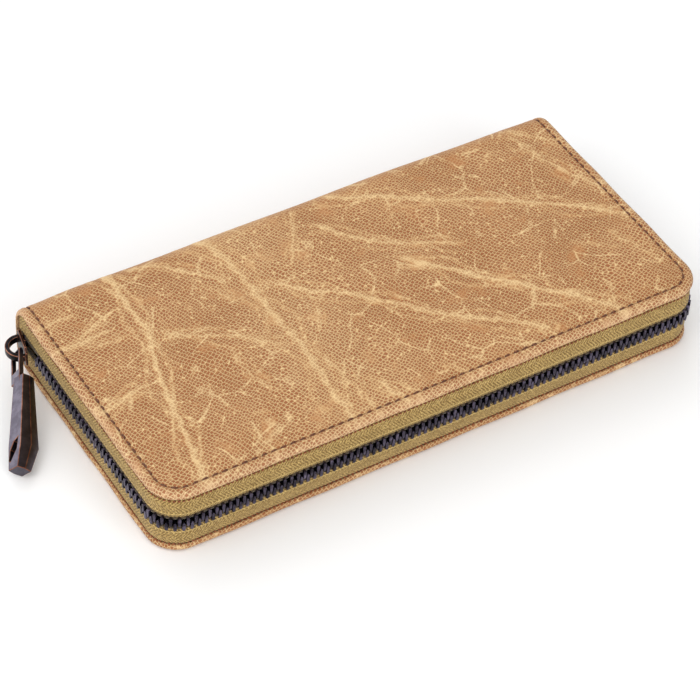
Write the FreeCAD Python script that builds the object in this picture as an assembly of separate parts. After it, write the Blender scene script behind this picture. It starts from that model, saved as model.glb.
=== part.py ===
import FreeCAD, Part
import math
import os

# Zip around wallet, closed, lying on its lower cover.  Millimetres, +Z up.
# +X runs along the spine to the right, +Y points to the spine, and the origin is the
# centre of the lower cover's outside face.  Everything on the upper cover is the lower
# cover's piece mirrored about the middle height.

V = FreeCAD.Vector

# ---- driving dimensions: the closed wallet -------------------------------------------------
LENGTH = 195.0
DEPTH = 96.0
THICK = 25.0
CORNER_R = 10.5
SPINE_R = 7.0
MID_Z = THICK / 2
BACK_Y = DEPTH / 2
FOLD_START_Y = BACK_Y - SPINE_R

# ---- cover layers, from the outside in ------------------------------------------------------
LEATHER_T = 1.6
RIM_TOP = 2.6
RIM_W = 1.2
BOARD_GAP = 0.1
FLANGE_W = 7.2
FLANGE_T = 0.5
LINING_T = 0.7
LINING_INSET = 1.3
LEAF_T = 0.5
LEAF_COUNT = 4
LEAF_HALF_X = 90.0
LEAF_BACK_Y = 40.0
LEAF_FRONT_Y = -38.0
LEAF_STEP_Y = 11.0

# ---- edge stitching --------------------------------------------------------------------------
STITCH_INSET = 3.2
STITCH_PITCH = 3.5
STITCH_LENGTH = 1.9
STITCH_W = 0.6
STITCH_DEPTH = 0.4
GROOVE_W = 0.8

# ---- spine ------------------------------------------------------------------------------------
FOLD_GAP = 0.15
SPINE_LINING_T = 0.6
SPINE_LINING_HALF_X = 96.0
SPINE_LINING_MARGIN = 0.5

# ---- main zip ----------------------------------------------------------------------------------
TAPE_INSET = 0.6
TAPE_T = 0.6
TAPE_TOP = 9.8
TAPE_BACK_Y = 45.5
CHAIN_INSET = TAPE_INSET + TAPE_T / 2
CORD_T = 1.0
CORD_H = 1.2
CORD_RUN_ON = 0.5
TOOTH_PITCH = 2.3
TOOTH_W = 0.8
TOOTH_T = 2.6
TOOTH_BOTTOM = 9.9
TOOTH_TOP = 13.2
TOOTH_CLEARANCE = 0.05
TEETH_START_Y = 32.2
TEETH_END_Y = 34.0
BOTTOM_STOP_Y = 35.0
BOTTOM_STOP_L = 3.0
BOTTOM_STOP_H = 5.0
BOTTOM_STOP_ROUND = 0.5
TOP_STOP_Y = 41.6
TOP_STOP_L = 0.8
TOP_STOP_H = 1.5
TOP_STOP_T = 1.2

# ---- main slider, bail and puller ------------------------------------------------------------
SLIDER_Y = 39.6
SLIDER_YAW = 12.0
SLIDER_L = 11.0
SLIDER_H = 8.0
SLIDER_CHAMFER = 1.5
PLATE_T = 0.8
PLATE_GAP = 3.6
NECK_L = 2.6
NECK_H = 2.0
NECK_FROM_NOSE = 1.0
BAIL_R_OUT = 5.1
BAIL_R_IN = 3.7
BAIL_W = 2.4
EYE_ON_BAIL = 54.0
EYE_RADIUS = 2.8
EYE_RAISE = 0.3
EYE_BAR = 1.2
EYE_HOLE_L = 6.4
EYE_HOLE_H = 4.2
EYE_T = 1.5
EYE_ARM = 0.8
EYE_OVERLAP = 1.2
EYE_ROLL = 28.0
PULLER_SPLAY = 26.0
PULLER_DROOP = 14.0
BODY_ROLL = 45.0
BODY_IN = 1.5
BODY_UP = 0.4
# Body sections: distance from the eye bar, width, thickness, ridge, and shift in and up.
BODY_SECTIONS = (
    (9.6, 5.0, 4.6, 0.4, 0.0, 0.7),
    (34.0, 6.8, 7.6, 0.7, 0.0, 0.0),
    (42.2, 4.8, 5.6, 0.4, -1.4, -0.4),
)
# Lozenge window through the body's broad faces: distance from the eye bar, and height.
WINDOW = ((31.6, 1.5), (35.6, 1.0), (39.4, -1.6), (38.8, -2.2), (35.2, -1.8), (32.6, -0.3))

# ---- coin pocket ------------------------------------------------------------------------------
PAGE_HALF_X = 88.0
PAGE_FRONT_Y = -30.0
PAGE_T = 4.0
PAGE_WALL = 0.8
PAGE_SEAM = 1.5
COIN_TAPE_T = 0.3
COIN_TAPE_REACH = 6.0
COIN_CHAIN_Y = -31.2
COIN_TOOTH_T = 1.6
COIN_TOOTH_W = 0.7
COIN_TOOTH_PITCH = 2.0
COIN_TOOTH_OVERLAP = 0.4
COIN_HALF_X = 82.0
COIN_STOP_L = 1.6
COIN_STOP_LEFT_X = -84.4
COIN_STOP_RIGHT_X = 82.4
COIN_SLIDER_X = 76.0
COIN_SLIDER_L = 7.0
COIN_SLIDER_H = 4.4
COIN_SLIDER_CHAMFER = 0.9
COIN_INNER_H = 1.3
COIN_PLATE_T = 0.6
COIN_PLATE_GAP = 2.2
COIN_NECK_L = 1.4
COIN_NECK_H = 0.7
COIN_NECK_FROM_NOSE = 0.6
COIN_BAIL_R_OUT = 2.8
COIN_BAIL_R_IN = 2.0
COIN_BAIL_W = 1.2
COIN_PULLER_SPLAY = 35.0
COIN_PULLER_L = 10.5
COIN_PULLER_W = 3.2
COIN_PULLER_T = 0.7
COIN_PULLER_ROUND = 0.8
COIN_EYE_START = 1.1
COIN_EYE_BAR = 0.7
COIN_EYE_L = 1.8
COIN_EYE_H = 2.0

# ---- side gussets --------------------------------------------------------------------------
GUSSET_OUT_X = 90.0
GUSSET_FOLD_X = 82.0
GUSSET_FRONT_Y = -15.0
GUSSET_BACK_Y = 44.0
GUSSET_T = 0.5
GUSSET_SLANT = 2.6
GUSSET_CLEAR = 0.1


# ---- shared shapes ------------------------------------------------------------------------
def box(x0, x1, y0, y1, z0, z1):
    return Part.makeBox(x1 - x0, y1 - y0, z1 - z0, V(x0, y0, z0))


def plate(inset, back_y, z0, z1):
    """The cover's plan, drawn in by inset on its three open sides, from z0 to z1."""
    x = LENGTH / 2 - inset
    front = -DEPTH / 2 + inset
    r = CORNER_R - inset
    cut = r * (1 - math.sqrt(0.5))
    edges = [
        Part.LineSegment(V(-x, back_y, z0), V(-x, front + r, z0)),
        Part.Arc(V(-x, front + r, z0), V(-x + cut, front + cut, z0), V(-x + r, front, z0)),
        Part.LineSegment(V(-x + r, front, z0), V(x - r, front, z0)),
        Part.Arc(V(x - r, front, z0), V(x - cut, front + cut, z0), V(x, front + r, z0)),
        Part.LineSegment(V(x, front + r, z0), V(x, back_y, z0)),
        Part.LineSegment(V(x, back_y, z0), V(-x, back_y, z0)),
    ]
    return Part.Face(Part.Wire([e.toShape() for e in edges])).extrude(V(0, 0, z1 - z0))


def band(outer_inset, inner_inset, back_y, z0, z1):
    """A U-shaped band along the three open sides, between two insets."""
    inner = plate(inner_inset, back_y + 1, z0 - 1, z1 + 1)
    return plate(outer_inset, back_y, z0, z1).cut(inner)


def edge_place(inset, start_y, s):
    """Point and heading, s along the line that is inset from the three open edges.

    The line starts at the left side at start_y, runs to the front, round the front and
    back up the right side.
    """
    r = CORNER_R - inset
    side = start_y + DEPTH / 2 - inset - r
    corner = r * math.pi / 2
    front = LENGTH - 2 * inset - 2 * r
    point = V(-LENGTH / 2 + inset, start_y, 0)
    heading = -90.0
    for length, turn in ((side, 0), (corner, 90), (front, 0), (corner, 90), (DEPTH, 0)):
        here = min(s, length)
        h = math.radians(heading)
        if turn:
            angle = here / r
            centre = point + V(-math.sin(h), math.cos(h), 0) * r
            point = centre + V(math.sin(h + angle), -math.cos(h + angle), 0) * r
            heading += math.degrees(angle)
        else:
            point = point + V(math.cos(h), math.sin(h), 0) * here
        s -= here
        if s <= 0:
            break
    return point, heading


def edge_length(inset, start_y, end_y):
    """Length of that line from the left side at start_y to the right side at end_y."""
    r = CORNER_R - inset
    sides = start_y + end_y + DEPTH - 2 * inset - 2 * r
    return sides + math.pi * r + LENGTH - 2 * inset - 2 * r


def along_edge(piece, inset, start_y, places):
    """Copies of a piece, drawn at the origin along +X, set at places along the edge line."""
    copies = []
    for s in places:
        point, heading = edge_place(inset, start_y, s)
        copy = piece.copy()
        copy.rotate(V(0, 0, 0), V(0, 0, 1), heading)
        copy.translate(point)
        copies.append(copy)
    return copies


def spaced(first, last, pitch):
    return [first + i * pitch for i in range(int((last - first) / pitch) + 1)]


def mirrored(shape):
    """The upper cover's copy of a lower cover piece."""
    return shape.mirror(V(0, 0, MID_Z), V(0, 0, 1))


def spine_hollow():
    """Everything outside the inner face of the lower fold's quarter round."""
    x = LENGTH / 2 + 1
    inner_r = SPINE_R - LEATHER_T - BOARD_GAP
    block = box(-x, x, FOLD_START_Y, BACK_Y + 1, -1, SPINE_R)
    return block.cut(Part.makeCylinder(inner_r, 2 * x, V(-x, FOLD_START_Y, SPINE_R), V(1, 0, 0)))


# ---- lower cover --------------------------------------------------------------------------
def cover_leather():
    """Flat panel, turned rim on three sides, and the quarter round up to the spine fold."""
    panel = plate(0, FOLD_START_Y, 0, LEATHER_T)
    rim = band(0, RIM_W, FOLD_START_Y, LEATHER_T, RIM_TOP)
    tube = Part.makeCylinder(SPINE_R, LENGTH, V(-LENGTH / 2, FOLD_START_Y, SPINE_R), V(1, 0, 0))
    bore_r = SPINE_R - LEATHER_T
    bore = Part.makeCylinder(bore_r, LENGTH, V(-LENGTH / 2, FOLD_START_Y, SPINE_R), V(1, 0, 0))
    quarter = box(-LENGTH / 2, LENGTH / 2, FOLD_START_Y, BACK_Y, 0, SPINE_R)
    fold = tube.cut(bore).common(quarter)
    half_w = GROOVE_W / 2
    groove = band(STITCH_INSET - half_w, STITCH_INSET + half_w, FOLD_START_Y, -1, STITCH_DEPTH)
    return panel.fuse([rim, fold]).removeSplitter().cut(groove)


def edge_stitching():
    """Separate stitches lying in the groove of the cover's outside face."""
    stitch = box(-STITCH_LENGTH / 2, STITCH_LENGTH / 2, -STITCH_W / 2, STITCH_W / 2, 0, STITCH_DEPTH)
    length = edge_length(STITCH_INSET, FOLD_START_Y, FOLD_START_Y)
    places = spaced(STITCH_PITCH / 2, length - STITCH_PITCH / 2, STITCH_PITCH)
    return Part.makeCompound(along_edge(stitch, STITCH_INSET, FOLD_START_Y, places))


def cover_board():
    """Stiffener: full size inside the rim, and a raised field inside the tape's flange."""
    full = plate(RIM_W + BOARD_GAP, FOLD_START_Y, LEATHER_T, RIM_TOP)
    inner_inset = TAPE_INSET + FLANGE_W + BOARD_GAP
    field = plate(inner_inset, FOLD_START_Y, RIM_TOP, RIM_TOP + FLANGE_T)
    return full.fuse(field).removeSplitter()


def zip_tape():
    """Flange sewn between rim and lining, and the web that makes the wallet's side wall."""
    flange_top = RIM_TOP + FLANGE_T
    flange = band(TAPE_INSET, TAPE_INSET + FLANGE_W, FOLD_START_Y, RIM_TOP, flange_top)
    web = band(TAPE_INSET, TAPE_INSET + TAPE_T, TAPE_BACK_Y, flange_top, TAPE_TOP)
    return flange.fuse(web.cut(spine_hollow())).removeSplitter()


def tape_cord():
    """Cord woven along the tape's free edge, under the teeth."""
    z1 = TAPE_TOP + CORD_H
    outer = CHAIN_INSET - CORD_T / 2
    cord = band(outer, outer + CORD_T, TOP_STOP_Y - BOARD_GAP, TAPE_TOP, z1)
    right_end = box(0, LENGTH, TEETH_END_Y + CORD_RUN_ON, BACK_Y, 0, THICK)
    return cord.cut(right_end)


def teeth_row(shift):
    """One row of teeth: each clamps the cord with two legs and meets the other row."""
    head = box(-TOOTH_W / 2, TOOTH_W / 2, -TOOTH_T / 2, TOOTH_T / 2, TOOTH_BOTTOM, TOOTH_TOP)
    half_slot = CORD_T / 2 + TOOTH_CLEARANCE
    slot_top = TAPE_TOP + CORD_H + TOOTH_CLEARANCE
    slot = box(-TOOTH_W, TOOTH_W, -half_slot, half_slot, 0, slot_top)
    last = edge_length(CHAIN_INSET, TEETH_START_Y, TEETH_END_Y) - TOOTH_PITCH
    places = spaced(TOOTH_PITCH * shift, last, TOOTH_PITCH)
    return Part.makeCompound(along_edge(head.cut(slot), CHAIN_INSET, TEETH_START_Y, places))


def top_stop():
    """Small clamp that ends the row at the slider's closed end, on the left."""
    x = -LENGTH / 2 + CHAIN_INSET
    half_t = TOP_STOP_T / 2
    end = TOP_STOP_Y + TOP_STOP_L
    return box(x - half_t, x + half_t, TOP_STOP_Y, end, TAPE_TOP, TAPE_TOP + TOP_STOP_H)


def bottom_stop():
    """Clamp across both rows at the zip's start, on the right."""
    x = LENGTH / 2 - CHAIN_INSET
    half_t = TOOTH_T / 2
    half_h = BOTTOM_STOP_H / 2
    end = BOTTOM_STOP_Y + BOTTOM_STOP_L
    block = box(x - half_t, x + half_t, BOTTOM_STOP_Y, end, MID_Z - half_h, MID_Z + half_h)
    along_y = [e for e in block.Edges if abs(e.tangentAt(e.FirstParameter).y) > 0.9]
    return block.makeFillet(BOTTOM_STOP_ROUND, along_y)


def cover_lining():
    bottom = RIM_TOP + FLANGE_T
    return plate(LINING_INSET, FOLD_START_Y, bottom, bottom + LINING_T)


def card_leaf(index):
    """Card pocket leaf: each one lies on the last and starts one step further back."""
    front = LEAF_FRONT_Y + index * LEAF_STEP_Y
    bottom = RIM_TOP + FLANGE_T + LINING_T + index * LEAF_T
    return box(-LEAF_HALF_X, LEAF_HALF_X, front, LEAF_BACK_Y, bottom, bottom + LEAF_T)


# ---- spine --------------------------------------------------------------------------------
def spine_leather():
    inner = BACK_Y - LEATHER_T
    z0 = SPINE_R + FOLD_GAP
    return box(-LENGTH / 2, LENGTH / 2, inner, BACK_Y, z0, THICK - z0)


def spine_lining():
    outer = BACK_Y - LEATHER_T
    z0 = SPINE_R + SPINE_LINING_MARGIN
    x = SPINE_LINING_HALF_X
    return box(-x, x, outer - SPINE_LINING_T, outer, z0, THICK - z0)


# ---- coin pocket ------------------------------------------------------------------------------
def coin_wall():
    """Lower half of the coin pocket: a wall with half of its side and back seams."""
    back = BACK_Y - LEATHER_T - SPINE_LINING_T
    z0 = MID_Z - PAGE_T / 2
    whole = box(-PAGE_HALF_X, PAGE_HALF_X, PAGE_FRONT_Y, back, z0, MID_Z)
    inside_x = PAGE_HALF_X - PAGE_SEAM
    cavity = box(-inside_x, inside_x, PAGE_FRONT_Y - 1, back - PAGE_SEAM, z0 + PAGE_WALL, THICK)
    return whole.cut(cavity)


def coin_tape():
    """Lower coin zip tape: sewn inside the wall, and flat out past the mouth."""
    z0 = MID_Z - PAGE_T / 2 + PAGE_WALL
    x = PAGE_HALF_X - PAGE_SEAM
    front = COIN_CHAIN_Y - COIN_TAPE_T
    return box(-x, x, front, PAGE_FRONT_Y + COIN_TAPE_REACH, z0, z0 + COIN_TAPE_T)


def coin_teeth(shift):
    """Lower row of coin zip teeth, standing on the tape's front edge."""
    z0 = MID_Z - PAGE_T / 2 + PAGE_WALL + COIN_TAPE_T
    z1 = MID_Z + COIN_TOOTH_OVERLAP
    y0 = COIN_CHAIN_Y - COIN_TOOTH_T / 2
    first = -COIN_HALF_X + COIN_TOOTH_PITCH * shift
    last = COIN_SLIDER_X - COIN_SLIDER_L / 2 - COIN_TOOTH_PITCH
    half_w = COIN_TOOTH_W / 2
    return Part.makeCompound([
        box(x - half_w, x + half_w, y0, y0 + COIN_TOOTH_T, z0, z1)
        for x in spaced(first, last, COIN_TOOTH_PITCH)
    ])


def coin_stops():
    """A clamp across both coin rows at each end."""
    half_t = COIN_TOOTH_T / 2
    z0 = MID_Z - PAGE_T / 2 + PAGE_WALL + COIN_TAPE_T
    y0 = COIN_CHAIN_Y - half_t
    return Part.makeCompound([
        box(x, x + COIN_STOP_L, y0, y0 + COIN_TOOTH_T, z0, THICK - z0)
        for x in (COIN_STOP_LEFT_X, COIN_STOP_RIGHT_X)
    ])


# ---- sliders and pullers ----------------------------------------------------------------------
# Drawn about the origin: +X is the nose, which leads as the zip closes, and +Y is outward.
def slider_plate(length, height, chamfer, y0, thick):
    x = length / 2
    z = height / 2
    corners = [
        (-x, -z + chamfer), (-x + chamfer, -z), (x - chamfer, -z), (x, -z + chamfer),
        (x, z - chamfer), (x - chamfer, z), (-x + chamfer, z), (-x, z - chamfer),
    ]
    outline = [V(px, y0, pz) for px, pz in corners + corners[:1]]
    return Part.Face(Part.makePolygon(outline)).extrude(V(0, thick, 0))


def half_ring(r_in, r_out, width, face_y):
    """Bail: half a ring that stands on the outer plate at face_y."""
    foot = V(0, face_y, -width / 2)
    ring = Part.makeCylinder(r_out, width, foot).cut(Part.makeCylinder(r_in, width, foot))
    return ring.common(box(-r_out, r_out, face_y, face_y + r_out, -width, width))


def on_main_chain(shape):
    """Sets a slider piece on the left side, with its nose turned a little inward."""
    shape.rotate(V(0, 0, 0), V(0, 0, 1), 90 - SLIDER_YAW)
    shape.translate(V(-LENGTH / 2 + CHAIN_INSET, SLIDER_Y, MID_Z))
    return shape


def main_slider():
    half_gap = PLATE_GAP / 2
    outer = slider_plate(SLIDER_L, SLIDER_H, SLIDER_CHAMFER, half_gap, PLATE_T)
    inner = slider_plate(SLIDER_L, SLIDER_H, SLIDER_CHAMFER, -half_gap - PLATE_T, PLATE_T)
    nose = SLIDER_L / 2 - NECK_FROM_NOSE
    neck = box(nose - NECK_L, nose, -half_gap, half_gap, -NECK_H / 2, NECK_H / 2)
    return on_main_chain(outer.fuse([inner, neck]).removeSplitter())


def main_bail():
    return on_main_chain(half_ring(BAIL_R_IN, BAIL_R_OUT, BAIL_W, PLATE_GAP / 2 + PLATE_T))


def bail_centre():
    """Centre of the main bail's half ring, which the puller swings about."""
    yaw = math.radians(SLIDER_YAW)
    out = PLATE_GAP / 2 + PLATE_T
    x = -LENGTH / 2 + CHAIN_INSET
    return V(x - out * math.cos(yaw), SLIDER_Y + out * math.sin(yaw), MID_Z)


def six_sided(s, width, thick, ridge, shift_in, shift_up):
    """Puller section at s: two broad faces, and narrow sides that meet on a ridge."""
    z = width / 2
    y = thick / 2
    corners = [(-y, ridge - z), (0, -z), (y, ridge - z), (y, z - ridge), (0, z), (-y, z - ridge)]
    outline = [V(s, shift_in + py, shift_up + pz) for py, pz in corners + corners[:1]]
    return Part.makePolygon(outline)


def puller_body():
    """Tapered six-sided bar along +X, pierced by a lozenge window near its tip."""
    body = Part.makeLoft([six_sided(*section) for section in BODY_SECTIONS], True, True)
    window = [V(s, -THICK, w) for s, w in WINDOW + WINDOW[:1]]
    body = body.cut(Part.Face(Part.makePolygon(window)).extrude(V(0, 2 * THICK, 0)))
    body.rotate(V(0, 0, 0), V(1, 0, 0), -BODY_ROLL)
    body.translate(V(0, BODY_IN, BODY_UP))
    return body


def puller_eye():
    """Flat loop along +X with a round bar, its centre at the origin, and a solid neck."""
    hole_end = EYE_BAR / 2 + EYE_HOLE_L
    half_hole = EYE_HOLE_H / 2
    outer = half_hole + EYE_ARM
    neck_end = BODY_SECTIONS[0][0] + EYE_OVERLAP
    eye = box(0, neck_end, -EYE_T / 2, EYE_T / 2, -outer, outer)
    eye = eye.cut(box(-1, hole_end, -EYE_T, EYE_T, -half_hole, half_hole))
    bar = Part.makeCylinder(EYE_BAR / 2, 2 * outer, V(0, 0, -outer))
    eye = eye.fuse(bar).removeSplitter()
    eye.rotate(V(0, 0, 0), V(1, 0, 0), -EYE_ROLL)
    return eye


def main_puller():
    """The puller hangs from the front of the bail, splayed out and drooping."""
    shape = puller_body().fuse(puller_eye()).removeSplitter()
    shape.rotate(V(0, 0, 0), V(0, 1, 0), PULLER_DROOP)
    shape.rotate(V(0, 0, 0), V(0, 0, 1), -90 - PULLER_SPLAY)
    on_bail = math.radians(EYE_ON_BAIL)
    reach = V(-math.sin(on_bail), -math.cos(on_bail), 0) * EYE_RADIUS
    shape.translate(bail_centre() + reach + V(0, 0, EYE_RAISE))
    return shape


def on_coin_chain(shape):
    """Sets a coin slider piece on the pocket's front edge, outer plate to the front."""
    shape.rotate(V(0, 0, 0), V(1, 0, 0), 180)
    shape.translate(V(COIN_SLIDER_X, COIN_CHAIN_Y, MID_Z))
    return shape


def coin_slider():
    half_gap = COIN_PLATE_GAP / 2
    outer = slider_plate(COIN_SLIDER_L, COIN_SLIDER_H, COIN_SLIDER_CHAMFER, half_gap, COIN_PLATE_T)
    inner_y = -half_gap - COIN_PLATE_T
    inner_chamfer = COIN_INNER_H / 4
    inner = slider_plate(COIN_SLIDER_L, COIN_INNER_H, inner_chamfer, inner_y, COIN_PLATE_T)
    nose = COIN_SLIDER_L / 2 - COIN_NECK_FROM_NOSE
    half_neck = COIN_NECK_H / 2
    neck = box(nose - COIN_NECK_L, nose, -half_gap, half_gap, -half_neck, half_neck)
    return on_coin_chain(outer.fuse([inner, neck]).removeSplitter())


def coin_bail():
    face = COIN_PLATE_GAP / 2 + COIN_PLATE_T
    return on_coin_chain(half_ring(COIN_BAIL_R_IN, COIN_BAIL_R_OUT, COIN_BAIL_W, face))


def coin_puller():
    """Small flat tab with a square eye, lying beside the coin chain."""
    half_w = COIN_PULLER_W / 2
    half_t = COIN_PULLER_T / 2
    tab = box(COIN_EYE_START, COIN_PULLER_L, -half_t, half_t, -half_w, half_w)
    upright = [e for e in tab.Edges if abs(e.tangentAt(e.FirstParameter).y) > 0.9]
    tip_edges = [e for e in upright if e.CenterOfMass.x > COIN_EYE_START + 1]
    tab = tab.makeFillet(COIN_PULLER_ROUND, tip_edges)
    eye0 = COIN_EYE_START + COIN_EYE_BAR
    half_eye = COIN_EYE_H / 2
    tab = tab.cut(box(eye0, eye0 + COIN_EYE_L, -1, 1, -half_eye, half_eye))
    tab.rotate(V(0, 0, 0), V(0, 0, 1), 180 + COIN_PULLER_SPLAY)
    face_y = COIN_CHAIN_Y - COIN_PLATE_GAP / 2 - COIN_PLATE_T
    tab.translate(V(COIN_SLIDER_X, face_y, MID_Z))
    return tab


# ---- side gussets ---------------------------------------------------------------------------
def gusset():
    """V-folded end wall between the lower card leaves and the coin pocket, right-hand end."""
    z0 = RIM_TOP + FLANGE_T + LINING_T + LEAF_COUNT * LEAF_T + GUSSET_CLEAR
    z1 = MID_Z - PAGE_T / 2 - GUSSET_CLEAR
    zm = (z0 + z1) / 2
    slant = GUSSET_T * GUSSET_SLANT
    points = [
        (GUSSET_OUT_X, z0), (GUSSET_FOLD_X, zm), (GUSSET_OUT_X, z1),
        (GUSSET_OUT_X, z1 - GUSSET_T), (GUSSET_FOLD_X + slant, zm), (GUSSET_OUT_X, z0 + GUSSET_T),
        (GUSSET_OUT_X, z0),
    ]
    face = Part.Face(Part.makePolygon([V(x, GUSSET_FRONT_Y, z) for x, z in points]))
    return face.extrude(V(0, GUSSET_BACK_Y - GUSSET_FRONT_Y, 0))


def left_of(shape):
    return shape.mirror(V(0, 0, 0), V(1, 0, 0))


# ---- the assembly ---------------------------------------------------------------------------
def cover_pieces():
    """The lower cover's pieces by name, without the word lower."""
    pieces = {
        "cover_leather": cover_leather(),
        "cover_stitching": edge_stitching(),
        "cover_board": cover_board(),
        "zip_tape": zip_tape(),
        "zip_cord": tape_cord(),
        "top_stop": top_stop(),
        "cover_lining": cover_lining(),
        "coin_wall": coin_wall(),
        "coin_tape": coin_tape(),
        "right_gusset": gusset(),
        "left_gusset": left_of(gusset()),
    }
    for index in range(LEAF_COUNT):
        pieces[f"card_leaf_{index + 1}"] = card_leaf(index)
    return pieces


def all_pieces():
    pieces = {
        "lower_zip_teeth": teeth_row(0),
        "upper_zip_teeth": mirrored(teeth_row(0.5)),
        "lower_coin_teeth": coin_teeth(0),
        "upper_coin_teeth": mirrored(coin_teeth(0.5)),
        "bottom_stop": bottom_stop(),
        "coin_stops": coin_stops(),
        "spine_leather": spine_leather(),
        "spine_lining": spine_lining(),
        "slider_body": main_slider(),
        "slider_bail": main_bail(),
        "zip_puller": main_puller(),
        "coin_slider_body": coin_slider(),
        "coin_slider_bail": coin_bail(),
        "coin_puller": coin_puller(),
    }
    for name, shape in cover_pieces().items():
        pieces[f"lower_{name}"] = shape
        pieces[f"upper_{name}"] = mirrored(shape)
    return pieces


os.makedirs("parts", exist_ok=True)
for node, solid in sorted(all_pieces().items()):
    solid.exportStep(f"parts/{node}.step")
    bounds = solid.BoundBox
    print(
        f"{node:24s} solids {len(solid.Solids):4d} volume {solid.Volume:10.2f}"
        f"  x {bounds.XMin:8.2f} {bounds.XMax:8.2f}  y {bounds.YMin:7.2f} {bounds.YMax:7.2f}"
        f"  z {bounds.ZMin:6.2f} {bounds.ZMax:6.2f}  {'ok' if solid.isValid() else 'INVALID'}"
    )
centre = bail_centre()
print(f"puller swings about {centre.x:.3f} {centre.y:.3f} {centre.z:.3f}")
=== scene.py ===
import math
from functools import partial

import bmesh
import bpy
import numpy as np
from mathutils import Matrix, Vector


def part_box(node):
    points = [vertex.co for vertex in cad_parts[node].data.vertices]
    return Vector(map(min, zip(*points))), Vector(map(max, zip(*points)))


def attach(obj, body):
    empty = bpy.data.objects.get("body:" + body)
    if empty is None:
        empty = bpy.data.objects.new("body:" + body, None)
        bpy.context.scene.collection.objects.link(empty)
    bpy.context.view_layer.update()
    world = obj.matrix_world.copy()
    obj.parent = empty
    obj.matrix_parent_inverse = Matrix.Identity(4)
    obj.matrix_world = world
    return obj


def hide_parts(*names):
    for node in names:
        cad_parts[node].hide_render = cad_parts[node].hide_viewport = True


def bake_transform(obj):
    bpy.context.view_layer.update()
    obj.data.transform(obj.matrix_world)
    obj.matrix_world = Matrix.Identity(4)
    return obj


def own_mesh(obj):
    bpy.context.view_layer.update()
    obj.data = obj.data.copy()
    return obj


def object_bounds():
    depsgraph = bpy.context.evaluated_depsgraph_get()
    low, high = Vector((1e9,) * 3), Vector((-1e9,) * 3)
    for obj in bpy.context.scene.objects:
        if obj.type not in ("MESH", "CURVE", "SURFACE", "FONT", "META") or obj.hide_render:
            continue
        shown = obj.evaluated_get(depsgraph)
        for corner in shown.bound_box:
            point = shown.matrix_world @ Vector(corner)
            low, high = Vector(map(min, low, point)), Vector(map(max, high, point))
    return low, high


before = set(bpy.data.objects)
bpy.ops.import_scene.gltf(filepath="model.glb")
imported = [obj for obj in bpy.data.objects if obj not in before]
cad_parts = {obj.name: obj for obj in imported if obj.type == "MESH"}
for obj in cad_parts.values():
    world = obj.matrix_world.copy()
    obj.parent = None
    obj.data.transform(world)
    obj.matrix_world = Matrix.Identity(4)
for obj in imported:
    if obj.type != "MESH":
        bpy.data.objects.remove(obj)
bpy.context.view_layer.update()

# Zip around wallet: the soft pieces, the zip and every material, built on the CAD frame.
# Lengths below are millimetres; make_piece() turns them into metres.  The upper cover's
# pieces are built as the lower cover's and mirrored about the middle height.

# ---- sizes ----
MM = 0.001
SIDES = ("lower", "upper")


def cad_size(node):
    """Lowest and highest corner of a CAD node, in millimetres."""
    low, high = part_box(node)
    return np.array(low) / MM, np.array(high) / MM


COVER_LOW, COVER_HIGH = cad_size("lower_cover_leather")
HALF_X = COVER_HIGH[0]
FRONT_Y = COVER_LOW[1]
BACK_Y = COVER_HIGH[1]
SPINE_R = COVER_HIGH[2]
THICK = cad_size("upper_cover_leather")[1][2]
MID_Z = THICK / 2
FOLD_Y = BACK_Y - SPINE_R
CORNER_R = 10.5
FOLD_ARC = SPINE_R * math.pi / 2
SKIN_END = FOLD_Y + FOLD_ARC + MID_Z - SPINE_R

LEATHER_T = 1.6
LINING_R = CORNER_R - 1.3
SKIN_STEP = 0.75
SEAM_INSET = 3.2
FIELD_INSET = 4.4
CROWN = 0.5
CROWN_RUN = 14
WAVE = 0.12
CROWN_SHARE = {"upper": 1.0, "lower": 0.25}
RIM_SHARE = {"upper": 1.0, "lower": 0.35}
VEIN_RISE = 0.14
VEIN_WIDTH = 1.05
VEIN_TAPER = 8.0
VEIN_ENDS = (93, 40)

SEAM_RUN_UP = 5.0
SEAM_SINK = 0.24
STITCH_PITCH = 3.3
STITCH_LENGTH = 2.2
STITCH_W = 0.72
STITCH_H = 0.5
HEM_STITCH = (1.05, 0.56, 0.44)
POCKET_STITCH = (1.9, 0.5, 0.34)
HEM_PITCH = 1.45
HEM_RISE = 0.62

TAPE_INSET = 0.9
SIDE_BOW = 0.12
FRONT_BOW = 0.6
BOW_RUN = 22
TAPE_T = 0.5
TAPE_BELLY = 0.3
TAPE_END_Y = 45.5
RIBBON_STEP = 1.0
RIM_TOP = 2.6
TAPE_TOP = cad_size("lower_zip_tape")[1][2]
CORD_W = 1.0
CORD_H = 1.2
SPLIT_Y = -20.4

TOOTH_PITCH = 2.3
TOOTH_T = 2.6
COIN_TOOTH_W = 0.7
COIN_TOOTH_SCALE = 0.62
COIN_PITCH = 2.0
TOOTH_BOTTOM, TOOTH_TOP = (cad_size("lower_zip_teeth")[i][2] for i in (0, 1))
TEETH_START_Y = 33.0
TEETH_END_Y = 34.0


# ---- mesh tools ----
def new_object(name, data):
    """A new object in the scene."""
    made = bpy.data.objects.new(name, data)
    bpy.context.scene.collection.objects.link(made)
    return made


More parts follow.
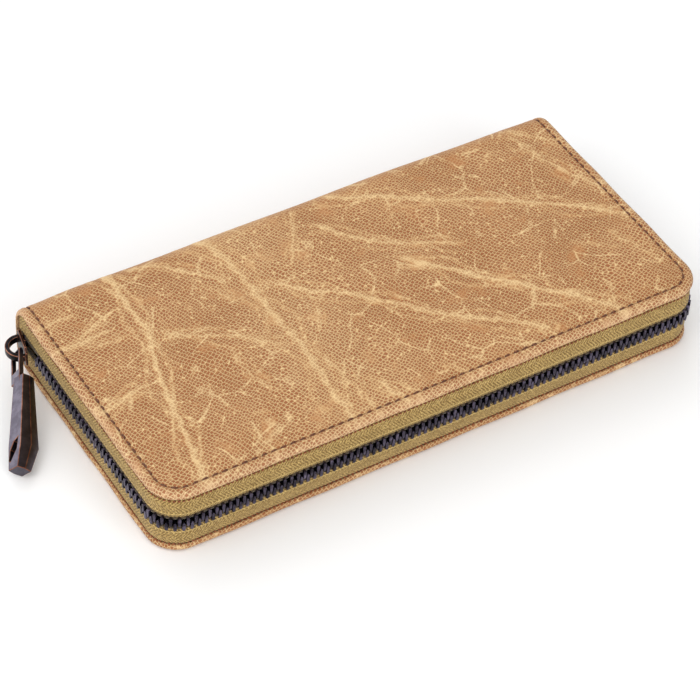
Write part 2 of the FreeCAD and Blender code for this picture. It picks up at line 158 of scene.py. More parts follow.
def make_piece(name, points, faces, sharp=50.0, **attributes):
    """An object from points in millimetres, with its normals outward and its attributes set."""
    mesh = bpy.data.meshes.new(name)
    mesh.from_pydata((np.asarray(points, float) * MM).tolist(), [], faces)
    for key, values in attributes.items():
        flat = np.asarray(values, np.float32)
        kind, field = ("FLOAT_VECTOR", "vector") if flat.ndim == 2 else ("FLOAT", "value")
        mesh.attributes.new(key, kind, "POINT").data.foreach_set(field, flat.ravel())
    work = bmesh.new()
    work.from_mesh(mesh)
    bmesh.ops.recalc_face_normals(work, faces=work.faces)
    work.to_mesh(mesh)
    work.free()
    mesh.polygons.foreach_set("use_smooth", np.ones(len(mesh.polygons), bool))
    mesh.set_sharp_from_angle(angle=math.radians(sharp))
    return new_object(name, mesh)


def quads(index):
    """Quads over a grid of vertex numbers."""
    index = np.asarray(index)
    corners = (index[:-1, :-1], index[:-1, 1:], index[1:, 1:], index[1:, :-1])
    return np.stack(corners, -1).reshape(-1, 4).tolist()


def tube_faces(rings, around):
    """Faces of a closed tube of rings, with a cap at each end."""
    index = np.arange(rings * around).reshape(rings, around)
    caps = [index[0].tolist(), index[-1].tolist()]
    return quads(np.hstack([index, index[:, :1]])) + caps


def smooth(value):
    """A smooth step from 0 to 1."""
    value = np.clip(value, 0, 1)
    return value * value * (3 - 2 * value)


def on_side(points, side):
    """Points of the lower cover, or their mirror image on the upper cover."""
    points = np.array(points, float)
    if side == "upper":
        points[..., 2] = THICK - points[..., 2]
    return points


def stack(pieces):
    """Several (points, faces, attribute) lumps as one."""
    points, faces, values, first = [], [], [], 0
    for lump_points, lump_faces, lump_values in pieces:
        points.append(lump_points)
        values.append(lump_values)
        faces += [[first + i for i in face] for face in lump_faces]
        first += len(lump_points)
    return np.vstack(points), faces, np.concatenate(values)


# ---- the outline of the three open sides ----
def edge_point(inset, start_y, s):
    """Plan points and the turn so far, at distances s along the line inset from the open edges.

    The line starts on the left side at start_y, rounds the front and comes back up the right.
    """
    s = np.asarray(s, float)
    r = CORNER_R - inset
    side = start_y - FRONT_Y - inset - r
    corner = r * math.pi / 2
    front = 2 * (HALF_X - inset - r)
    first = np.clip((s - side) / r, 0, math.pi / 2)
    second = np.clip((s - side - corner - front) / r, 0, math.pi / 2)
    along = np.clip(s - side - corner, 0, front)
    back = np.clip(s - side - 2 * corner - front, 0, None)
    x = -HALF_X + inset + r * (1 - np.cos(first)) + along + r * np.sin(second)
    y = start_y - np.clip(s, 0, side) - r * np.sin(first) + r * (1 - np.cos(second)) + back
    return np.stack([x, y], -1), first + second


def edge_length(inset, start_y, end_y):
    """Length of that line up to end_y on the right side."""
    r = CORNER_R - inset
    sides = start_y + end_y - 2 * (FRONT_Y + inset + r)
    return sides + math.pi * r + 2 * (HALF_X - inset - r)


def outward(turn):
    """The way out of the wallet in plan."""
    return np.stack([-np.cos(turn), -np.sin(turn)], -1)


def lean(plan, turn):
    """How far the zip bows out of the straight, in millimetres."""
    side = SIDE_BOW * smooth((TEETH_END_Y - plan[..., 1]) / BOW_RUN)
    front = FRONT_BOW * np.sin(turn) ** 2 * (1 - (plan[..., 0] / HALF_X) ** 2)
    return side + front


# ---- leather skins ----
def rounded_side(p, q, r_p, r_q, inward, count):
    """Points and outward normals from the middle of one rounded corner to the middle of the next."""
    p, q, inward = (np.array(v, float) for v in (p, q, inward))
    span = np.linalg.norm(q - p)
    along = (q - p) / span
    straight = span - r_p - r_q
    arc_p, arc_q = r_p * math.pi / 4, r_q * math.pi / 4
    s = np.linspace(0, arc_p + straight + arc_q, count + 1)
    angle_p = np.clip(arc_p - s, 0, None) / max(r_p, 1e-9)
    angle_q = np.clip(s - arc_p - straight, 0, None) / max(r_q, 1e-9)
    run = r_p * (1 - np.sin(angle_p)) + np.clip(s - arc_p, 0, straight) + r_q * np.sin(angle_q)
    drop = r_p * (1 - np.cos(angle_p)) + r_q * (1 - np.cos(angle_q))
    points = p + run[:, None] * along + drop[:, None] * inward
    tilt = angle_q - angle_p
    normals = np.sin(tilt)[:, None] * along - np.cos(tilt)[:, None] * inward
    return points, normals


def rounded_grid(half_x, front, back, r_front, r_back, step):
    """A grid over a rounded rectangle, rows from the front, and its outline's normals by row."""
    columns = int(2 * half_x / step)
    rows = int((back - front) / step)
    a, b, c, d = (-half_x, front), (half_x, front), (half_x, back), (-half_x, back)
    front_p, front_n = rounded_side(a, b, r_front, r_front, (0, 1), columns)
    back_p, back_n = rounded_side(d, c, r_back, r_back, (0, -1), columns)
    left_p, left_n = rounded_side(a, d, r_front, r_back, (1, 0), rows)
    right_p, right_n = rounded_side(b, c, r_front, r_back, (-1, 0), rows)
    u = np.linspace(0, 1, columns + 1)[None, :, None]
    v = np.linspace(0, 1, rows + 1)[:, None, None]
    grid = (1 - u) * left_p[:, None] + u * right_p[:, None]
    grid = grid + (1 - v) * front_p[None] + v * back_p[None]
    low = (1 - u) * left_p[0] + u * right_p[0]
    high = (1 - u) * left_p[-1] + u * right_p[-1]
    return grid - (1 - v) * low - v * high, (front_n, back_n, left_n, right_n)


# Pale growth lines in the hide: half width, strength and the points they pass through.
VEINS = (
    (1.5, 1.0, ((-68, 46), (-67, 38), (-68, 28), (-67, 17), (-70, 10), (-73, 0), (-75, -10), (-77, -20),
     (-79, -32), (-82, -46))),
    (1.0, 0.7, ((-99, 32), (-92, 33.5), (-84, 34), (-79, 33))),
    (0.9, 0.9, ((-92, 21), (-86, 24), (-80, 27), (-75, 28.5), (-68, 31))),
    (1.1, 0.9, ((-99, 21.5), (-90, 22), (-80, 22.3), (-73, 21.8))),
    (0.8, 0.7, ((-92, 19.5), (-84, 18.5), (-76, 17.8), (-68, 17.5))),
    (1.3, 0.9, ((-99, -7), (-93, -7.5), (-88, -5.5), (-83, -4), (-75, -3.2))),
    (1.0, 0.7, ((-70, 11), (-64, 11), (-60, 9.5), (-55, 9), (-48, 8.5))),
    (1.4, 0.8, ((-67, 15.5), (-61, 12), (-56, 7.5), (-51, 5), (-47, 3), (-42, -1), (-36, -6),
     (-30, -10))),
    (2.2, 0.75, ((-35, 46), (-32, 39), (-30.5, 30), (-30, 15), (-30, 3), (-29, -10), (-30, -20),
     (-31, -32), (-31, -47))),
    (1.1, 0.7, ((-28, -10), (-26, -18), (-25, -26), (-24, -34), (-23, -46))),
    (1.2, 0.8, ((-60, 43), (-52, 42), (-48, 37), (-43, 33), (-38, 27), (-34, 20))),
    (0.8, 0.6, ((-46, 29), (-41, 22), (-38, 17), (-35, 12))),
    (0.8, 0.75, ((-2, 42), (-6, 33), (-9, 29), (-12, 24), (-16, 17))),
    (1.4, 0.85, ((-29, 21), (-22, 16), (-18, 11), (-14, 7), (-10, 6), (-5, 1), (0, -4), (5, -9),
     (10, -14), (15, -20), (20, -24), (26, -28), (31, -31), (36, -36), (42, -41))),
    (0.8, 0.65, ((-8, 12), (-11, 6), (-15, 3), (-18, -2), (-20, -7), (-24, -10))),
    (0.9, 0.6, ((-49, 3), (-49, -12), (-48.5, -19), (-46, -24), (-42, -30))),
    (1.6, 0.8, ((-21, -30), (-17, -35), (-15, -40), (-11, -47))),
    (0.9, 0.6, ((-61, -30), (-54, -30), (-48, -30.5))),
    (1.1, 0.55, ((-60, -31), (-60, -38), (-57, -47))),
    (1.4, 0.85, ((12, 43), (18, 38.5), (26, 36), (33, 31.5), (39, 28), (44, 23.5), (51, 20.5),
     (57, 17.5), (62, 14), (68, 10.5), (74, 6), (83, 0), (88, -4), (95, -11))),
    (1.3, 0.85, ((-3, 36), (4, 31), (8, 25), (12, 20), (18, 16), (23, 12.5), (28, 10), (33, 7),
     (42, 1.5))),
    (1.7, 0.9, ((16, 11), (21, 3), (28, -3), (32, -8), (37, -13), (42, -18), (47, -22), (51, -28),
     (59, -34), (62, -39), (70, -47))),
    (1.0, 0.7, ((82, 42), (88, 37), (94, 30))),
    (1.2, 0.7, ((81, 40), (82, 33), (85, 24), (89, 14), (93, 8), (94, 3), (89, 0))),
    (0.6, 0.8, ((20, 21), (24, 24), (30, 28.5))),
    (0.6, 0.6, ((33, 12), (37, 16), (40, 20))),
    (0.6, 0.6, ((63, 31), (69, 35.5), (76, 39))),
    (1.3, 0.6, ((83, -9), (84, -15), (87, -22), (90, -30), (92, -38))),
    (1.0, 0.55, ((66, -11), (74, -15), (79, -19), (86, -24))),
    (1.0, 0.5, ((0, -37), (7, -41), (14, -47))),
)


def nearest(points, line):
    """Signed distance from each point to a line of points, and how far that is from its two ends."""
    best, place, run_so_far = np.full(len(points), np.inf), np.zeros(len(points)), 0.0
    for start, end in zip(line[:-1], line[1:]):
        run = end - start
        length = np.hypot(*run)
        offset = points - start
        share = np.clip((offset @ run) / (run @ run), 0, 1)
        gap = np.hypot(*(offset - share[:, None] * run).T)
        hand = np.where(run[0] * offset[:, 1] < run[1] * offset[:, 0], -1.0, 1.0)
        closer = gap < np.abs(best)
        best[closer] = (gap * hand)[closer]
        place[closer] = run_so_far + share[closer] * length
        run_so_far += length
    return best, place, run_so_far - place


def rounded_line(line):
    """The line with its corners cut twice, so that a vein bends smoothly."""
    line = np.array(line, float)
    for _ in range(2):
        cut = [line[:1]]
        for start, end in zip(line[:-1], line[1:]):
            cut.append(np.array([0.75 * start + 0.25 * end, 0.25 * start + 0.75 * end]))
        line = np.vstack(cut + [line[-1:]])
    return line


# A vein's own line and two finer creases beside it: offset and width, as shares of the vein's
# half width, and strength.
CREASES = ((0.0, 0.6, 1.0), (1.8, 0.45, 0.55), (-2.2, 0.45, 0.5))
CREASE_LEAST = 0.5


def vein_map(plan, side):
    """How strongly a vein shows at each flat point; the lower cover has them turned about."""
    points = plan if side == "upper" else -plan
    wander = 0.5 * np.sin(points[:, 1] * 0.9 + points[:, 0] * 0.35)
    wander = wander + 0.35 * np.sin(points[:, 0] * 1.3 - points[:, 1] * 0.5)
    shifted = points + wander[:, None] * (0.7, 0.4)
    found = np.zeros(len(points))
    for half_width, strength, line in VEINS:
        line = rounded_line(line)
        away, from_start, from_end = nearest(shifted, line)
        fade = np.full(len(points), strength)
        for end, gone in ((line[0], from_start), (line[-1], from_end)):
            if abs(end[0]) < VEIN_ENDS[0] and abs(end[1]) < VEIN_ENDS[1]:
                fade = fade * smooth(gone / VEIN_TAPER)
        for offset, share, strong in CREASES:
            middle = offset * half_width * (1 + 0.45 * np.sin(0.23 * from_start + 2 * offset))
            width = max(VEIN_WIDTH * half_width * share, CREASE_LEAST)
            found = np.maximum(found, fade * strong * np.exp(-(((away - middle) / width) ** 2)))
    return found


def skin_point(plan, depth):
    """A point of the lower skin: flat, round the fold's quarter turn, then up the spine."""
    s = plan[:, 1]
    angle = np.clip((s - FOLD_Y) / SPINE_R, 0, math.pi / 2)
    y = np.minimum(s, FOLD_Y) + (SPINE_R - depth) * np.sin(angle)
    z = SPINE_R - (SPINE_R - depth) * np.cos(angle) + np.clip(s - FOLD_Y - FOLD_ARC, 0, None)
    return np.stack([plan[:, 0], y, z], -1)


# Section of the skin's edge, from the field outward: inset, depth under the outside face.
SKIN_EDGE = (
    (4.0, 0.0), (3.7, 0.03), (3.5, 0.16), (3.35, 0.32), (3.2, 0.38), (3.05, 0.32), (2.9, 0.16),
    (2.65, 0.02), (2.3, -0.04), (1.8, -0.02), (1.3, 0.05), (0.9, 0.16), (0.55, 0.36), (0.28, 0.66),
    (0.1, 1.02), (0.0, 1.45), (0.02, 1.85), (0.14, 2.2), (0.4, 2.5), (0.8, 2.6), (1.1, 2.4),
    (1.2, 2.0), (1.35, 1.68), (1.9, 1.6), (3.0, 1.6),
)


def cover_skin(side):
    """Leather of one cover with its half of the spine: one closed shell with a seam groove."""
    field_r = CORNER_R - FIELD_INSET
    field_x = HALF_X - FIELD_INSET
    panel, normals = rounded_grid(field_x, FRONT_Y + FIELD_INSET, FOLD_Y, field_r, 0, SKIN_STEP)
    steps = int((SKIN_END - FOLD_Y) / SKIN_STEP)
    fold_s = np.linspace(FOLD_Y, SKIN_END, steps + 1)[1:]
    fold = np.stack(np.broadcast_arrays(panel[-1:, :, 0], fold_s[:, None]), -1)
    grid = np.concatenate([panel, fold])
    rows, columns = grid.shape[:2]
    plan = grid.reshape(-1, 2)
    x, y = plan.T
    inset = np.minimum(HALF_X - np.abs(x), y - FRONT_Y)
    wave = np.sin(x * 0.11 + y * 0.07 + 1) + np.sin(x * 0.05 - y * 0.13)
    vein = vein_map(plan, side)
    middle = 1 - (x / HALF_X) ** 4
    crown = (CROWN * middle + WAVE * wave) * smooth((inset - FIELD_INSET) / CROWN_RUN)
    crown = crown * CROWN_SHARE[side]
    outer = skin_point(plan, -crown - VEIN_RISE * vein * smooth((inset - FIELD_INSET) / 2))
    inner = skin_point(plan, np.full(len(plan), LEATHER_T))

    number = np.arange(rows * columns).reshape(rows, columns)
    border = np.concatenate([number[::-1, 0], number[0, 1:], number[1:, -1]])
    left = np.concatenate([normals[2], np.tile((-1.0, 0.0), (steps, 1))])
    right = np.concatenate([normals[3], np.tile((1.0, 0.0), (steps, 1))])
    away = np.concatenate([left[::-1], normals[0][1:], right[1:]])
    base = plan[border]
    taper = 1 - smooth((base[:, 1] - FOLD_Y + 5) / 6)
    waver = 0.12 * np.sin(base[:, 0] * 0.19 + base[:, 1] * 0.23)

    loops, rings, flats, run = [border], [], [], 0.0
    last = (FIELD_INSET, 0.0)
    for ring, (ring_inset, depth) in enumerate(SKIN_EDGE):
        run += math.hypot(ring_inset - last[0], depth - last[1])
        last = (ring_inset, depth)
        out = (FIELD_INSET - ring_inset + waver * smooth((FIELD_INSET - ring_inset) / 4))[:, None]
        deep = np.full(len(base), depth) if depth <= LEATHER_T else LEATHER_T + (depth - LEATHER_T) * taper
        rings.append(skin_point(base + away * out, deep))
        flats.append(base + away * run)
        loops.append(2 * rows * columns + ring * len(border) + np.arange(len(border)))
    loops.append(border + rows * columns)

    end = [loop[0] for loop in loops], [loop[-1] for loop in loops]
    faces = quads(number) + quads(number + rows * columns) + quads(np.stack(loops))
    faces += quads(np.stack([number[-1], number[-1] + rows * columns]))
    faces += [[int(i) for i in loop] for loop in end]
    flat = np.vstack([plan, plan] + flats)
    if side == "lower":
        flat[:, 1] = 2 * SKIN_END - flat[:, 1]
    rim, seam = np.zeros(len(flat)), np.zeros(len(flat))
    across = np.array([i for i, _ in SKIN_EDGE])
    pale = np.clip((SEAM_INSET - across) / SEAM_INSET, 0, 1) * RIM_SHARE[side]
    rim[2 * rows * columns:] = np.repeat(pale, len(border))
    # Painted shade in the seam's groove, strongest at the stitch line.
    groove = smooth(1.4 - np.abs(across - SEAM_INSET) / 0.35)
    seam[2 * rows * columns:] = np.repeat(groove, len(border))
    veins = np.concatenate([vein, 0 * vein] + [vein[border]] * len(SKIN_EDGE))
    flesh = np.zeros(len(flat))
    flesh[rows * columns:2 * rows * columns] = 1
    points = on_side(np.vstack([outer, inner] + rings), side)
    flat = np.column_stack([flat, np.zeros(len(flat))])
    return make_piece(
        f"{side}_leather_skin", points, faces, flat=flat, vein=veins, rim=rim, seam=seam, flesh=flesh
    )


# ---- thread ----
def stitch_lump(centre, along, up, length, width, height, phase):
    """One stitch: a plump length of thread whose ends dive into their holes."""
    rings, around = (9, 8) if length > 1.5 else (6, 6)
    across = np.cross(up, along)
    t = np.linspace(-1, 1, rings)[:, None, None]
    angle = np.linspace(0, 2 * math.pi, around, endpoint=False)[None, :, None]
    girth = np.sqrt(np.clip(1.02 - np.abs(t) ** 3, 0, None))
    twist = 1 + 0.08 * np.sin(6 * angle + 9 * t + phase)
    rise = height * (0.28 - 0.9 * t**4) + 0.5 * height * girth * np.sin(angle) * twist
    points = centre + along * (0.5 * length * t) + across * (0.5 * width * girth * np.cos(angle) * twist)
    points = points + up * rise
    depth = np.broadcast_to(np.abs(t), (rings, around, 1)).reshape(-1)
    return points.reshape(-1, 3), tube_faces(rings, around), depth


def stitches(name, centres, tangents, up, length=STITCH_LENGTH, width=STITCH_W, height=STITCH_H):
    """A row of separate stitches, each turned a little off the line as hand-guided ones are."""
    lumps = []
    ups = np.broadcast_to(np.array(up, float), np.shape(centres))
    for i, (centre, tangent, upward) in enumerate(zip(centres, tangents, ups)):
        slant = 0.16 + 0.06 * math.sin(2.3 * i)
        along = Vector(tangent).normalized()
        along.rotate(Matrix.Rotation(slant, 3, Vector(upward)))
        long = length * (1 + 0.06 * math.sin(1.7 * i))
        lumps.append(stitch_lump(np.array(centre), np.array(along), upward, long, width, height, i))
    points, faces, depth = stack(lumps)
    return make_piece(name, points, faces, hole=depth)


def edge_stitches(side):
    """The cover's seam, from part way round the spine's curve on one side to the other."""
    start_y, depth = FOLD_Y + SEAM_RUN_UP, SEAM_SINK
    s = np.arange(STITCH_PITCH / 2, edge_length(SEAM_INSET, start_y, start_y), STITCH_PITCH)
    plan, turn = edge_point(SEAM_INSET, start_y, s)
    ahead = np.stack([np.sin(turn), -np.cos(turn)], -1)
    mirror = (1, 1, 1 if side == "lower" else -1)
    centres = skin_point(plan, depth)
    tangents = (skin_point(plan + 0.5 * ahead, depth) - centres) * mirror
    up = (skin_point(plan, 0) - centres) / depth * mirror
    return stitches(f"{side}_edge_stitches", on_side(centres, side), tangents, up)


def hem_stitches(side):
    """Fine dark stitches where the tape leaves the leather's rim."""
    inset, height = TAPE_INSET - TAPE_T / 2, RIM_TOP + HEM_RISE
    s = np.arange(HEM_PITCH, edge_length(inset, FOLD_Y, FOLD_Y), HEM_PITCH)
    plan, turn = edge_point(inset, FOLD_Y, s)
    out = outward(turn)
    centres = np.column_stack([plan + out * 0.05, np.full(len(s), height)])
    tangents = np.column_stack([np.sin(turn), -np.cos(turn), np.zeros(len(s))])
    up = np.column_stack([out, np.zeros(len(s))])
    return stitches(f"{side}_hem_stitches", on_side(centres, side), tangents, up, *HEM_STITCH)


# ---- zip ----
def zip_range(start_y, end_y, part):
    """Distances along the zip line for its left part, or the rest."""
    split = start_y - SPLIT_Y
    first, last = (0, split) if part == "left" else (split, edge_length(TAPE_INSET, start_y, end_y))
    return np.linspace(first, last, int((last - first) / RIBBON_STEP) + 1)


def ribbon(name, side, section, start_y, end_y, part):
    """A closed ribbon: section is a ring of (inset, height) carried along the zip line."""
    section = np.array(section, float)
    s = zip_range(start_y, end_y, part)
    plan, turn = edge_point(TAPE_INSET, start_y, s)
    share = (section[:, 1] - RIM_TOP) / (TAPE_TOP - RIM_TOP)
    rise = smooth(share)
    bulge_and_pale_stripe = TAPE_BELLY * np.sin(math.pi * np.clip(share, 0, 1))
    free = smooth((TEETH_END_Y + 4 - plan[:, 1]) / 12)
    out = TAPE_INSET - section[:, 0] + lean(plan, turn)[:, None] * rise + free[:, None] * bulge_and_pale_stripe
    points = plan[:, None] + outward(turn)[:, None] * out[..., None]
    height = np.broadcast_to(section[:, 1], out.shape)
    points = np.concatenate([points, height[..., None]], -1)
    steps = np.hypot(*(section - np.roll(section, 1, 0)).T)
    across = np.broadcast_to(np.cumsum(steps), out.shape)
    flat = np.stack([np.broadcast_to(s[:, None] - start_y, out.shape), height, across], -1)
    faces = tube_faces(len(s), len(section))
    return make_piece(name, on_side(points.reshape(-1, 3), side), faces, flat=flat.reshape(-1, 3))


def tape_line():
    """Middle of the tape: a hem between rim and lining, a turn, and the web up to the teeth."""
    middle = [(7.0, 2.85), (2.0, 2.85), (1.3, 2.95), (0.98, 3.3), (0.9, 3.8)]
    middle += [(0.9, z) for z in np.linspace(4.6, 8.2, 7)]
    middle += [(0.84, 8.5), (0.78, 8.75), (0.84, 9.0), (0.9, 9.25), (0.9, TAPE_TOP)]
    return np.array(middle)


def tape_section():
    """The tape's closed outline: its middle line, thickened."""
    middle = tape_line()
    run = np.gradient(middle, axis=0)
    normal = np.stack([run[:, 1], -run[:, 0]], -1) / np.hypot(*run.T)[:, None]
    half = TAPE_T / 2
    return np.vstack([middle + normal * half, (middle - normal * half)[::-1]])


def oval(inset, height, width, tall):
    """A closed oval section."""
    angle = np.linspace(0, 2 * math.pi, 12, endpoint=False)
    return np.stack([inset + width / 2 * np.cos(angle), height + tall / 2 * np.sin(angle)], -1)


# Tooth profile along the chain and up: half length of the metal at each height.
TOOTH_PROFILE = ((0.0, 0.24), (0.14, 0.40), (0.42, 0.53), (0.8, 0.56), (1.5, 0.53), (2.1, 0.47),
                 (2.6, 0.45), (3.0, 0.38), (3.2, 0.28), (3.3, 0.14))


def tooth_block(thick, low, high, scale):
    """One tooth at the origin: a bar with a rounded foot and a narrower head."""
    work = bmesh.new()
    share = (high - low) / TOOTH_PROFILE[-1][0]
    outline = [(w * scale, low + z * share) for z, w in TOOTH_PROFILE]
    outline += [(-w, z) for w, z in reversed(outline)]
    front = [work.verts.new((x, -thick / 2, z)) for x, z in outline]
    face = work.faces.new(front)
    grown = bmesh.ops.extrude_face_region(work, geom=[face])["geom"]
    moving = [v for v in grown if isinstance(v, bmesh.types.BMVert)]
    bmesh.ops.translate(work, vec=(0, thick, 0), verts=moving)
    bmesh.ops.recalc_face_normals(work, faces=work.faces)
    sides = [e for e in work.edges if abs(e.verts[0].co.y - e.verts[1].co.y) < 1e-6]
    bmesh.ops.bevel(work, geom=sides, offset=0.14 * scale, segments=2, affect="EDGES", profile=0.6)
    points = np.array([v.co for v in work.verts])
    faces = [[v.index for v in f.verts] for f in work.faces]
    work.free()
    return points, faces


def teeth(name, side, part, shift):
    """One row of teeth, or its left part, set along the chain."""
    split = TEETH_START_Y - SPLIT_Y
    last = edge_length(TAPE_INSET, TEETH_START_Y, TEETH_END_Y) - TOOTH_PITCH
    s = np.arange(TOOTH_PITCH * shift, last, TOOTH_PITCH)
    s = s[s <= split] if part == "left" else s[s > split]
    plan, turn = edge_point(TAPE_INSET, TEETH_START_Y, s)
    plan = plan + outward(turn) * lean(plan, turn)[:, None]
    block, block_faces = tooth_block(TOOTH_T, TOOTH_BOTTOM, TOOTH_TOP, 1.0)
    lumps = []
    for i, (place, angle) in enumerate(zip(plan, turn)):
        along = np.array([math.sin(angle), -math.cos(angle), 0])
        out = np.array([math.cos(angle), math.sin(angle), 0])
        jitter = 0.04 * math.sin(3.1 * i)
        points = along * block[:, :1] + out * block[:, 1:2] + (0, 0, 1) * (block[:, 2:] + jitter)
        shade = np.full(len(points), 0.5 + 0.5 * math.sin(7.7 * i))
        lumps.append((points + (*place, 0), block_faces, shade))
    points, faces, shade = stack(lumps)
    return make_piece(name, on_side(points, side), faces, sharp=40, shade=shade)


# ---- flat soft pieces ----
PLATE_STEP = 1.5
PLATE_LEAST_R = 0.3


def soft_plate(name, low, high, r_front, r_back, lift=None, place=None):
    """A sheet with rolled edges between two corners; lift(plan) raises it and place() sets it."""
    half_t = (high[2] - low[2]) / 2
    field, normals = rounded_grid(
        high[0] - half_t, low[1] + half_t, high[1] - half_t,
        max(r_front - half_t, PLATE_LEAST_R), max(r_back - half_t, PLATE_LEAST_R), PLATE_STEP,
    )
    rows, columns = field.shape[:2]
    plan = field.reshape(-1, 2)
    number = np.arange(rows * columns).reshape(rows, columns)
    border = np.concatenate([number[::-1, 0], number[0, 1:], number[1:, -1], number[-1, -2:0:-1]])
    away = np.concatenate([normals[2][::-1], normals[0][1:], normals[3][1:], normals[1][-2:0:-1]])
    plans, heights = [plan, plan], [np.full(len(plan), half_t), np.full(len(plan), -half_t)]
    loops = [border]
    angles = np.linspace(90, -90, 9)[1:-1]
    for ring, angle in enumerate(np.radians(angles)):
        plans.append(plan[border] + away * half_t * math.cos(angle))
        heights.append(np.full(len(border), half_t * math.sin(angle)))
        loops.append(2 * rows * columns + ring * len(border) + np.arange(len(border)))
    loops.append(border + rows * columns)
    loops = np.stack(loops)
    faces = quads(number) + quads(number + rows * columns)
    faces += quads(np.hstack([loops, loops[:, :1]]))
    plan = np.vstack(plans)
    middle = (high[2] + low[2]) / 2 + (lift(plan) if lift else 0)
    points = np.column_stack([plan, np.concatenate(heights) + middle])
    flat = np.column_stack([plan, np.zeros(len(plan))])
    return make_piece(name, place(points) if place else points, faces, sharp=60, flat=flat)


# ---- shader tools ----
def tone(red, green, blue):
    """A screen colour as the linear colour that a shader takes."""
    values = [v / 255 for v in (red, green, blue)]
    linear = [v / 12.92 if v <= 0.04045 else ((v + 0.055) / 1.055) ** 2.4 for v in values]
    return (*linear, 1.0)


class Wire:
    """A shader value; each operator on it adds one maths node."""

    def __init__(self, graph, socket):
        self.graph = graph
        self.socket = socket

    def __add__(self, other):
        return self.graph.math("ADD", self, other)

    def __sub__(self, other):
        return self.graph.math("SUBTRACT", self, other)

    def __rsub__(self, other):
        return self.graph.math("SUBTRACT", other, self)

    def __mul__(self, other):
        return self.graph.math("MULTIPLY", self, other)


class Graph:
    """The shader of a material or a world, and short calls for its nodes."""

    def __init__(self, name, owners=bpy.data.materials, shader="Principled BSDF", **inputs):
        self.owner = owners.new(name)
        self.owner.use_nodes = True
        self.tree = self.owner.node_tree
        self.shader = self.tree.nodes[shader]
        self.give(**inputs)

    def give(self, **inputs):
        """Sets or links the shader's own inputs."""
        for key, value in inputs.items():
            self.set(self.shader.inputs[key.replace("_", " ")], value)

    def set(self, socket, value):
        if isinstance(value, Wire):
            self.tree.links.new(value.socket, socket)
        else:
            socket.default_value = value

    def node(self, kind, inputs, output=0, **settings):
        node = self.tree.nodes.new(kind)
        for key, value in settings.items():
            setattr(node, key, value)
        for key, value in inputs.items():
            self.set(node.inputs[key], value)
        return Wire(self, node.outputs[output])

    def attribute(self, name, output="Fac"):
        return self.node("ShaderNodeAttribute", {}, output, attribute_name=name)

    def object_mm(self):
        """The object's own coordinates, in millimetres."""
        place = self.node("ShaderNodeTexCoord", {}, "Object")
        return self.scaled(place, (1 / MM, 1 / MM, 1 / MM))

    def axes(self, place):
        """The x and the y of a place."""
        return [self.node("ShaderNodeSeparateXYZ", {0: place}, axis) for axis in "XY"]

    def math(self, operation, a, b=0.0):
        return self.node("ShaderNodeMath", {0: a, 1: b}, operation=operation)

    def vector(self, operation, a, b):
        return self.node("ShaderNodeVectorMath", {0: a, 1: b}, operation=operation)

    def scaled(self, place, factors):
        return self.vector("MULTIPLY", place, factors)

    def moved(self, place, x, y):
        return self.vector("ADD", place, (x, y, 0.0))

    def step(self, value, low, high, to_low=0.0, to_high=1.0):
        """A smooth step between two values."""
        inputs = {"Value": value, "From Min": low, "From Max": high, "To Min": to_low, "To Max": to_high}
        return self.node("ShaderNodeMapRange", inputs, interpolation_type="SMOOTHSTEP")

    def wave(self, value, length):
        """A sine of this length."""
        return self.math("SINE", value * (2 * math.pi / length))

    def noise(self, place, size, detail=2.0, rough=0.5, output=0):
        inputs = {"Vector": place, "Scale": 1 / size, "Detail": detail, "Roughness": rough}
        return self.node("ShaderNodeTexNoise", inputs, output)

    def drift(self, place, size, rough=0.4):
        """A random shift in every direction, of up to about a half."""
        shift = self.noise(place, size, 1.0, rough, "Color")
        return self.vector("SUBTRACT", shift, (0.5, 0.5, 0.5))

    def warped(self, place, shift, reach):
        """A place moved in plan by a shift times reach."""
        return self.vector("ADD", place, self.scaled(shift, (reach, reach, 0.0)))

    def cells(self, place, size, feature, random=1.0):
        inputs = {"Vector": place, "Scale": 1 / size, "Randomness": random}
        return self.node("ShaderNodeTexVoronoi", inputs, "Distance", feature=feature)

    def mix(self, share, a, b):
        """A mix of two colours, by the node's colour sockets."""
        return self.node("ShaderNodeMix", {0: share, 6: a, 7: b}, 2, data_type="RGBA")

    def coats(self, colour, *coats):
        """A colour under coats of (share, colour), the last on top."""
        for share, coat in coats:
            colour = self.mix(share, colour, coat)
        return colour

    def facing(self, way, direction):
        """How far a texture coordinate points in a direction."""
        inputs = {0: self.node("ShaderNodeTexCoord", {}, way), 1: direction}
        return self.node("ShaderNodeVectorMath", inputs, "Value", operation="DOT_PRODUCT")

    def bump(self, height, distance, strength):
        inputs = {"Height": height, "Distance": distance * MM, "Strength": strength}
        self.give(Normal=self.node("ShaderNodeBump", inputs))

    def done(self, colour, roughness):
        self.give(Base_Color=colour, Roughness=roughness)
        return self.owner


# ---- leather ----
TAN_LIGHT = tone(192, 144, 95)
TAN_DARK = tone(173, 123, 75)
TAN_PALE = tone(216, 177, 126)
TAN_RED = tone(182, 120, 70)
TAN_GOLD = tone(200, 153, 100)
PORE_BROWN = tone(148, 85, 45)
NET_CREAM = tone(240, 212, 156)
VEIN_CREAM = tone(229, 195, 142)
RIM_CREAM = tone(216, 178, 138)
SEAM_SHADE = tone(112, 66, 42)
FLESH_LIGHT = tone(190, 154, 116)
FLESH_DARK = tone(164, 126, 90)
INNER_LIGHT = tone(196, 150, 103)
INNER_DARK = tone(176, 128, 82)
INNER_PORE = tone(140, 92, 58)
PORE_GAP = 1.1
PORE_STRETCH = (0.9, 1.1, 1.0)
PORE_TURN = math.radians(-28)
PORE_RANDOM = 0.45
CRACKLE_GAP = 15.0
# Middle and half width of a paler stripe from front to back, and how far out it starts to fade.
PALE_STRIPE_X = -24
PALE_STRIPE_W = 38
PALE_STRIPE_CORE = 12.0
# The covers are darker, with fainter pores, from here to here, as distances from the middle of the spine.
DARK_BAND_SPAN = (SKIN_END - 38.0, SKIN_END - 46.0)


